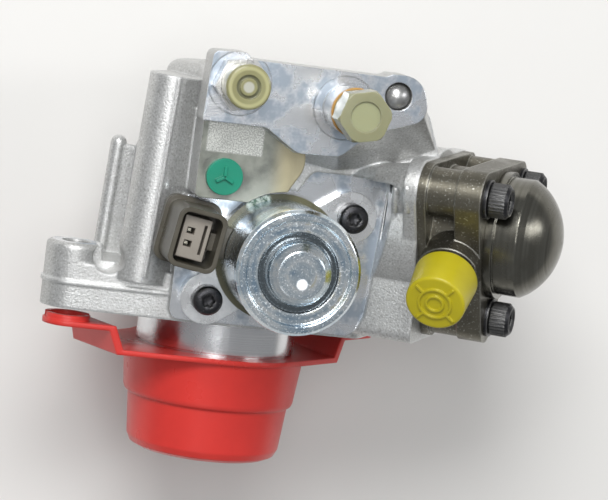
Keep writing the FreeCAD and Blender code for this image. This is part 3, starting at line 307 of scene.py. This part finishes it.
def etched_material():
    # dull olive skin of the text pad, with a paler blank patch that the laser has etched, and a painted
    # yellowish highlight towards its right end
    material, tree, shader, place = start_material("etched_aluminium", (0.2, 0.21, 0.19), 0.85, 0.36)
    normal = grained_bump(tree, place, 1900, 0.00006, 0.5)[0]
    cloud = patch_mask(tree, place, 110.0, 0.35, 0.65)
    apart = put(tree, "ShaderNodeSeparateXYZ", {"Vector": place})
    x, y = apart.outputs["X"], apart.outputs["Y"]
    body = blend_colours(tree, cloud, (0.19, 0.20, 0.18), (0.29, 0.30, 0.265))
    # painted highlight: the pad is painted paler and yellower towards its right end
    side = between(tree, x, 0.0005, 0.0065)
    body = blend_colours(tree, side, body, (0.40, 0.36, 0.24))
    patch = product(tree, band(tree, x, -0.0174, -0.0014, 0.0004), between(tree, y, 0.0505, 0.0512))
    speckle = patch_mask(tree, place, 2600.0, 0.42, 0.58, 1.0)
    frost = blend_colours(tree, speckle, (0.36, 0.37, 0.35), (0.62, 0.63, 0.60))
    body = blend_colours(tree, patch, body, frost)
    rim = place_group(tree, edges, {"Radius": 0.0005, "Bump": normal})
    give(tree, shader, {
        "Base Color": body,
        "Roughness": blend_values(tree, cloud, 0.30, 0.46),
        "Normal": rim.outputs["Normal"]})
    return material


def set_material(name, *materials):
    data = nodes[name].data
    data.materials.clear()
    for material in materials:
        data.materials.append(material)


cast_aluminium = cast_material(
    "cast_aluminium", (0.60, 0.605, 0.60), (0.40, 0.40, 0.39), (0.88, 0.89, 0.89), 0.40)
milled_aluminium = milled_material(
    "milled_aluminium", (0.80, 0.82, 0.85), (0.34, 0.39, 0.45), 0.24, (250, 2200, 250))
set_material("pump_housing", cast_aluminium, milled_aluminium, etched_material())
pad_heights = (0.035, 0.050, 0.0496)
text_pad_height = 0.045
lug_boss_height = 0.0188
for face in nodes["pump_housing"].data.polygons:
    height = face.center.z
    if face.normal.z > 0.999 and min(abs(height - h) for h in pad_heights) < 0.0001:
        face.material_index = 1
    elif face.normal.z > 0.999 and abs(height - text_pad_height) < 0.0001:
        face.material_index = 2
    elif face.normal.y < -0.999 and face.center.y < 0.0012:
        face.material_index = 1
    elif face.normal.y > 0.999 and abs(face.center.y - lug_boss_height) < 0.0001:
        face.material_index = 1
    else:
        face.material_index = 0


# The bearing carrier with its pilot spigot is turned from aluminium and shows the lathe's fine
# rings. The valve's flange is a stamped and ground aluminium plate.

def turned_material(name, colour, stain, roughness, centre, axis, fineness):
    material, tree, shader, place = start_material(name, colour, 1.0, roughness)
    cut = place_group(tree, lathe, {"Place": place, "Centre": centre, "Axis": axis, "Fineness": fineness})
    bump = put(tree, "ShaderNodeBump", {
        "Height": cut.outputs["Rings"], "Distance": 0.00002, "Strength": 0.5})
    stains = patch_mask(tree, place, 80.0, 0.42, 0.66)
    rim = place_group(tree, edges, {"Radius": 0.0004, "Bump": bump.outputs["Normal"]})
    body = blend_colours(tree, between(tree, cut.outputs["Rings"], 0.35, 0.7), colour, stain)
    body = blend_colours(tree, stains, body, stain)
    body = blend_colours(tree, rim.outputs["Wear"], body, tuple(min(0.95, c * 1.6) for c in colour))
    give(tree, shader, {
        "Base Color": body,
        "Roughness": blend_values(tree, stains, roughness, roughness + 0.1),
        "Normal": rim.outputs["Normal"]})
    return material


set_material("front_bearing_carrier", turned_material(
    "turned_spigot", (0.84, 0.84, 0.85), (0.72, 0.73, 0.75), 0.2, (0, 0, 0), (0, 1, 0), 4200))
valve_centre = Vector((0.0085, 0.022, 0))
flange_metal = milled_material(
    "valve_flange_metal", (0.90, 0.91, 0.92), (0.66, 0.68, 0.70), 0.24, (400, 400, 900))
tree = flange_metal.node_tree
shader = tree.nodes["Principled BSDF"]
place = tree.nodes["Texture Coordinate"].outputs["Object"]
# a dark olive ring of painted shade lies round the can's foot, with a white and green crust dried in one
# place
cut = place_group(tree, lathe, {"Place": place, "Centre": valve_centre, "Axis": (0, 0, 1)})
foot_shade_and_crust = between(tree, cut.outputs["Out"], 0.0188, 0.0184)
dried = between(tree, far_from(tree, place, (0.0006, 0.0372, 0.039)), 0.0042, 0.0030)
crust = patch_mask(tree, place, 900.0, 0.40, 0.56, 3.0)
crumbs = blend_colours(tree, crust, (0.10, 0.20, 0.13), (0.72, 0.80, 0.72))
shade_and_crust_colour = blend_colours(tree, dried, (0.115, 0.11, 0.065), crumbs)
metal_colour = shader.inputs["Base Color"].links[0].from_socket
give(tree, shader, {
    "Base Color": blend_colours(tree, foot_shade_and_crust, metal_colour, shade_and_crust_colour),
    "Metallic": blend_values(tree, foot_shade_and_crust, 1.0, 0.1)})
set_material("valve_flange", flange_metal)


# The high-pressure head: forged steel, blasted and phosphated to a dark brown that shines a
# little on its ribs. Its dome plug and the outlet's nose are turned from plain dark steel.

def steel_material(name, colour, worn, roughness, grain_scale, glint_from=0.62):
    material, tree, shader, place = start_material(name, colour, 0.9, roughness)
    normal, grain = grained_bump(tree, place, grain_scale, 0.00012, 0.5)
    patch = patch_mask(tree, place, 70.0, 0.4, 0.7)
    rim = place_group(tree, edges, {"Radius": 0.0008, "Bump": normal})
    body = blend_colours(tree, patch, colour, tuple(c * 1.5 for c in colour))
    body = blend_colours(tree, between(tree, grain, glint_from, glint_from + 0.16), body, worn)
    body = blend_colours(tree, rim.outputs["Wear"], body, worn)
    give(tree, shader, {
        "Base Color": body,
        "Roughness": blend_values(tree, patch, roughness + 0.08, roughness - 0.08),
        "Normal": rim.outputs["Normal"]})
    return material


head_tilt = math.radians(28)
head_centre = Vector((0, 0.0356, 0))
head_axis = Vector((math.cos(head_tilt), 0, math.sin(head_tilt)))
head_up = Vector((-math.sin(head_tilt), 0, math.cos(head_tilt)))
head_side = head_axis.cross(head_up)
port_start = head_centre + head_axis * 0.0724
port_turn = math.radians(27.5)
port_lean = math.radians(2.5)
port_axis = (head_up * math.cos(port_turn) + head_side * math.sin(port_turn)) * math.cos(port_lean) \
    + head_axis * math.sin(port_lean)
set_material("head_body", steel_material(
    "phosphated_steel", (0.115, 0.107, 0.085), (0.46, 0.455, 0.41), 0.36, 1500, 0.57))
set_material("head_dome", turned_material(
    "dark_turned_steel", (0.20, 0.195, 0.17), (0.14, 0.135, 0.115), 0.2, head_centre, head_axis, 1500))
set_material("outlet_fitting", turned_material(
    "outlet_steel", (0.34, 0.33, 0.30), (0.22, 0.21, 0.19), 0.22, port_start, port_axis, 1500))


# Two half-round ribs cast on the housing's slope, beside the seat of the head. They are part of
# the casting and have its grain.

def turned_shell(name, base, axis, across, stations, teeth):
    # closed shell about an axis; each station is a radius, a height and the outline there
    count = teeth * 4
    side = axis.cross(across)
    mesh = bmesh.new()
    rings = []
    for radius, height, outline in stations:
        centre = base + axis * height
        if radius == 0:
            rings.append([mesh.verts.new(centre)])
            continue
        ring = []
        for i in range(count):
            turn = 2 * math.pi * i / count
            reach = radius
            if outline == "hexagon":
                reach = radius / math.cos(turn % (math.pi / 3) - math.pi / 6)
            elif outline == "star":
                reach = radius * (1 + 0.13 * math.cos(6 * turn))
            elif outline == "knurl" and i % 4 < 2:
                reach = radius - 0.00022
            outward = across * math.cos(turn) + side * math.sin(turn)
            ring.append(mesh.verts.new(centre + outward * reach))
        rings.append(ring)
    for lower, upper in zip(rings, rings[1:]):
        for i in range(count):
            k = (i + 1) % count
            if len(lower) == 1:
                mesh.faces.new((lower[0], upper[k], upper[i]))
            elif len(upper) == 1:
                mesh.faces.new((lower[i], lower[k], upper[0]))
            else:
                mesh.faces.new((lower[i], lower[k], upper[k], upper[i]))
    bmesh.ops.recalc_face_normals(mesh, faces=mesh.faces)
    data = bpy.data.meshes.new(name)
    mesh.to_mesh(data)
    mesh.free()
    shell = bpy.data.objects.new(name, data)
    bpy.context.scene.collection.objects.link(shell)
    bpy.ops.object.select_all(action="DESELECT")
    shell.select_set(True)
    bpy.context.view_layer.objects.active = shell
    bpy.ops.object.shade_smooth_by_angle(angle=math.radians(28))
    shell.select_set(False)
    return shell


def cast_rib(name, start, end, radius):
    reach = (end - start).length
    stations = [(0, 0, "round")]
    for out, height in ((0.6, 0.2), (0.9, 0.56), (1.0, 1.0)):
        stations.append((radius * out, radius * height, "round"))
    for out, height in ((1.0, 1.0), (0.9, 0.56), (0.6, 0.2)):
        stations.append((radius * out, reach - radius * height, "round"))
    stations.append((0, reach, "round"))
    axis = (end - start).normalized()
    rib = turned_shell(name, start, axis, axis.cross(Vector((0, 0, 1))).normalized(), stations, 8)
    rib.data.materials.append(cast_aluminium)
    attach(rib, "housing")


cast_rib("slope_rib_inner", Vector((0.0370, 0.0475, 0.0505)), Vector((0.0383, 0.0393, 0.0478)), 0.0011)
cast_rib("slope_rib_outer", Vector((0.0392, 0.0484, 0.0543)), Vector((0.0410, 0.0399, 0.0519)), 0.00135)


# The cap screws: cold headed steel with a knurled head, a chamfer and a hexagon socket, black
# oxide finish. Three hold the head, over washers, and two smaller ones hold the valve.

def cap_screw(name, node, seat, axis, across, stations):
    screw = turned_shell(name, seat, axis, across, stations, 30)
    screw.data.materials.append(black_steel)
    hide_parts(node)
    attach(screw, "housing")


black_steel = steel_material("black_oxide_steel", (0.035, 0.035, 0.038), (0.30, 0.30, 0.29), 0.32, 2500)
set_material("head_washers", black_steel)
screw_seat_t = 0.0633 + 0.0184 + 0.0012
head_screw_circle_r = 0.0245
head_screw_form = [
    (0, -0.0291, "round"), (0.0024, -0.0291, "round"), (0.00298, -0.0285, "round"), (0.00298, 0.0, "round"),
    (0.0046, 0.0, "round"), (0.005, 0.0005, "knurl"), (0.005, 0.0049, "knurl"), (0.0047, 0.0051, "round"),
    (0.0039, 0.006, "round"), (0.0036, 0.006, "round"), (0.0033, 0.0056, "round"),
    (0.0025, 0.0054, "hexagon"), (0.0025, 0.0029, "hexagon"), (0, 0.0025, "round")]
for i in range(3):
    turn = math.radians(-28 - 120 * i)
    across = head_up * math.cos(turn) + head_side * math.sin(turn)
    seat = head_centre + head_axis * screw_seat_t + across * head_screw_circle_r
    cap_screw("head_screw_%d" % (i + 1), "head_bolts", seat, head_axis, head_up, head_screw_form)
valve_screw_form = [
    (0, -0.0085, "round"), (0.0019, -0.0085, "round"), (0.00248, -0.0079, "round"), (0.00248, 0.0, "round"),
    (0.0040, 0.0, "round"), (0.00425, 0.0003, "round"), (0.00425, 0.0034, "round"),
    (0.0041, 0.0041, "round"), (0.0036, 0.0047, "round"), (0.0028, 0.005, "round"), (0.0020, 0.005, "round"),
    (0.0017, 0.0048, "star"), (0.0016, 0.0026, "star"), (0, 0.0022, "round")]
for i, sign in enumerate((-1, 1)):
    seat = valve_centre + Vector((sign * 0.0195, sign * 0.0138, 0.039))
    cap_screw("valve_screw_%d" % (i + 1), "valve_screws", seat, Vector((0, 0, 1)), Vector((1, 0, 0)),
              valve_screw_form)


# The valve's can: drawn steel, zinc plated and passivated, so that blue, straw and white tints
# lie in rings over a speckled silver skin. A small white spot, not metallic, sits on its raised centre.

can_material, tree, shader, place = start_material("passivated_zinc", (0.6, 0.66, 0.72), 1.0, 0.26)
cut = place_group(tree, lathe, {
    "Place": place, "Centre": valve_centre, "Axis": (0, 0, 1), "Fineness": 900})
drift = put(tree, "ShaderNodeTexNoise", {"Vector": place, "Scale": 140.0, "Detail": 5.0, "Distortion": 0.8})
tint = put(tree, "ShaderNodeMath", operation="MULTIPLY_ADD")
tree.links.new(drift.outputs["Fac"], tint.inputs[0])
tint.inputs[1].default_value = 0.62
tree.links.new(blend_values(tree, cut.outputs["Rings"], 0.0, 0.38), tint.inputs[2])
ramp = put(tree, "ShaderNodeValToRGB", {"Fac": tint.outputs["Value"]})
stops = ramp.color_ramp.elements
stops[0].position = 0.34
stops[0].color = (0.34, 0.47, 0.60, 1)
stops[1].position = 0.66
stops[1].color = (0.82, 0.80, 0.64, 1)
middle = stops.new(0.48)
middle.color = (0.66, 0.75, 0.81, 1)
pale = stops.new(0.57)
pale.color = (0.88, 0.93, 0.96, 1)
specks = patch_mask(tree, place, 1500.0, 0.52, 0.80, 2.0)
body = blend_colours(tree, specks, ramp.outputs["Color"], (0.86, 0.90, 0.92))
from_axis = cut.outputs["Out"]
# painted shade: a dark ring over the groove round the can's boss
groove_shade = product(tree, between(tree, from_axis, 0.0091, 0.0096), between(tree, from_axis, 0.0117, 0.0111))
body = blend_colours(tree, groove_shade, body, (0.16, 0.19, 0.21))
white_spot_mask = between(tree, far_from(tree, place, (0.0089, 0.0195, 0.074)), 0.0018, 0.0013)
body = blend_colours(tree, white_spot_mask, body, (0.85, 0.88, 0.90))
normal = grained_bump(tree, place, 1100, 0.00006, 0.5)[0]
rim = place_group(tree, edges, {"Radius": 0.0006, "Bump": normal})
body = blend_colours(tree, rim.outputs["Wear"], body, (0.94, 0.97, 0.99))
give(tree, shader, {
    "Base Color": body, "Roughness": blend_values(tree, specks, 0.2, 0.42),
    "Metallic": blend_values(tree, white_spot_mask, 1.0, 0.0), "Normal": rim.outputs["Normal"]})
set_material("valve_can", can_material)


# Moulded plastics: the brown socket, the red transport cap, the yellow and green plugs and the
# two see-through olive caps, each with the soft sheen and fine unevenness of its mould.

def plastic_material(name, colour, shade, roughness, glow, rings=None, edge_m=0.0005):
    material, tree, shader, place = start_material(name, colour, 0.0, roughness)
    shader.inputs["Subsurface Weight"].default_value = glow
    shader.inputs["Subsurface Radius"].default_value = (0.004, 0.003, 0.002)
    shader.inputs["Subsurface Scale"].default_value = 1.0
    normal = grained_bump(tree, place, 420, 0.00008, 0.35)[0]
    patch = patch_mask(tree, place, 38.0, 0.35, 0.7)
    rim = place_group(tree, edges, {"Radius": edge_m, "Bump": normal})
    body = blend_colours(tree, patch, colour, shade)
    if rings:
        # depth seen through the cap, and where given a painted highlight: darker and paler bands about its
        # own axis
        centre, axis, bands = rings
        cut = place_group(tree, lathe, {"Place": place, "Centre": centre, "Axis": axis})
        for inner, outer, tone in bands:
            body = blend_colours(tree, band(tree, cut.outputs["Out"], inner, outer, 0.0003), body, tone)
    light = tuple(min(1.0, c * 1.15 + 0.01) for c in colour)
    body = blend_colours(tree, rim.outputs["Wear"], body, light)
    give(tree, shader, {
        "Base Color": body,
        "Roughness": blend_values(tree, patch, roughness - 0.05, roughness + 0.07),
        "Normal": rim.outputs["Normal"]})
    return material


set_material("valve_connector", plastic_material(
    "brown_socket_plastic", (0.05, 0.045, 0.032), (0.075, 0.067, 0.05), 0.3, 0.0))
set_material("transport_cap", plastic_material(
    "red_cap_plastic", (0.62, 0.036, 0.028), (0.55, 0.030, 0.024), 0.32, 0.08, edge_m=0.0012))
set_material("outlet_cap", plastic_material(
    "yellow_cap_plastic", (0.45, 0.385, 0.006), (0.38, 0.32, 0.006), 0.42, 0.08))
set_material("gauge_port_plug", plastic_material(
    "green_plug_plastic", (0.0, 0.22, 0.135), (0.0, 0.18, 0.11), 0.36, 0.08))
set_material("return_cap", plastic_material(
    "olive_cap_plastic", (0.27, 0.265, 0.14), (0.22, 0.21, 0.10), 0.16, 0.2,
    # the return cap's bands: a paler olive ring, a dark ring, and a pale painted highlight at its centre
    ((-0.011, 0.071, 0), (0, 0, 1), (
        (0.0047, 0.0056, (0.38, 0.37, 0.20)), (0.0024, 0.0034, (0.14, 0.14, 0.08)),
        (-0.001, 0.0015, (0.42, 0.42, 0.36))))))
set_material("inlet_cap", plastic_material(
    "cream_cap_plastic", (0.27, 0.27, 0.17), (0.22, 0.22, 0.125), 0.2, 0.3,
    ((0.0196, 0.0675, 0), (0, 0, 1), ((-0.001, 0.0041, (0.30, 0.31, 0.18)),))))
set_material("inlet_seal", plastic_material(
    "amber_seal_rubber", (0.45, 0.24, 0.05), (0.38, 0.19, 0.04), 0.4, 0.1))


# The insert moulded in the socket: a grey-brown block round the two pins, open down to the
# socket's floor about each pin, with a slot and a bar beside the key.

def stepped_block(name, xs, ys, zs, top_of):
    # closed block of cells; top_of gives the number of layers that stand on each cell
    filled = set()
    for i in range(len(xs) - 1):
        for j in range(len(ys) - 1):
            for k in range(top_of((xs[i] + xs[i + 1]) / 2, (ys[j] + ys[j + 1]) / 2)):
                filled.add((i, j, k))
    mesh = bmesh.new()
    corners = {}
    turn = Matrix.Rotation(math.radians(-9), 3, "Z")
    socket_centre = Vector((-19.0, 27.0, 0))
    for cell in sorted(filled):
        for direction in range(3):
            for step in (0, 1):
                beside = list(cell)
                beside[direction] += 1 if step else -1
                if tuple(beside) in filled:
                    continue
                ring = []
                for a, b in ((0, 0), (1, 0), (1, 1), (0, 1)):
                    corner = [cell[0], cell[1], cell[2]]
                    corner[direction] += step
                    corner[(direction + 1) % 3] += a
                    corner[(direction + 2) % 3] += b
                    key = tuple(corner)
                    if key not in corners:
                        spot = turn @ Vector((xs[key[0]], ys[key[1]], zs[key[2]])) + socket_centre
                        corners[key] = mesh.verts.new(spot / 1000)
                    ring.append(corners[key])
                mesh.faces.new(ring)
    bmesh.ops.recalc_face_normals(mesh, faces=mesh.faces)
    data = bpy.data.meshes.new(name)
    mesh.to_mesh(data)
    mesh.free()
    block = bpy.data.objects.new(name, data)
    bpy.context.scene.collection.objects.link(block)
    return block


pin_y = 1.85


def insert_layers(x, y):
    if -3.1 < x < -0.9 and abs(abs(y) - pin_y) < 0.9:
        return 0
    return 1 if 1.5 < x < 2.3 and abs(y) < 4.2 else 2


insert = stepped_block(
    "socket_insert", (-4.4, -3.1, -0.9, 1.5, 2.3, 3.3),
    (-5.9, -4.2, -pin_y - 0.9, -pin_y + 0.9, pin_y - 0.9, pin_y + 0.9, 4.2, 5.9), (46.9, 52.5, 56.5),
    insert_layers)
insert.data.materials.append(plastic_material(
    "insert_plastic", (0.21, 0.185, 0.155), (0.27, 0.245, 0.21), 0.34, 0.0, edge_m=0.0004))
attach(insert, "housing")


# Inner steel, bronze, rubber and copper: ground shaft and valve parts, sintered bushes, moulded
# seals, drawn springs and the wound coil.

ground_steel = milled_material("ground_steel", (0.58, 0.58, 0.57), (0.48, 0.48, 0.48), 0.24, (900, 900, 900))
for name in (
        "drive_shaft", "shaft_key", "tappet_body", "tappet_roller", "roller_pin", "spring_seat", "plunger",
        "inlet_valve", "inlet_valve_retainer", "inlet_valve_seat", "outlet_ball", "valve_body", "valve_spool",
        "valve_core", "gallery_ball_plug", "return_fitting", "inlet_fitting"):
    set_material(name, ground_steel)
spring_steel = steel_material("drawn_spring_steel", (0.22, 0.22, 0.23), (0.4, 0.4, 0.4), 0.35, 2000)
for name in ("plunger_spring", "inlet_valve_spring", "outlet_spring", "valve_spring"):
    set_material(name, spring_steel)
bronze = milled_material("sintered_bronze", (0.55, 0.36, 0.17), (0.42, 0.27, 0.12), 0.4, (900, 900, 900))
for name in ("front_bush", "rear_bush", "thrust_washer"):
    set_material(name, bronze)
rubber = plastic_material("seal_rubber", (0.018, 0.018, 0.018), (0.03, 0.03, 0.03), 0.5, 0.0)
for name in ("carrier_o_ring", "shaft_seal", "head_o_ring", "valve_o_rings", "plunger_seal"):
    set_material(name, rubber)
set_material("valve_coil", milled_material(
    "enamelled_copper", (0.5, 0.2, 0.08), (0.4, 0.15, 0.06), 0.35, (60, 60, 4000)))
set_material("valve_terminals", milled_material(
    "tinned_brass", (0.62, 0.6, 0.5), (0.5, 0.48, 0.4), 0.3, (900, 900, 900)))
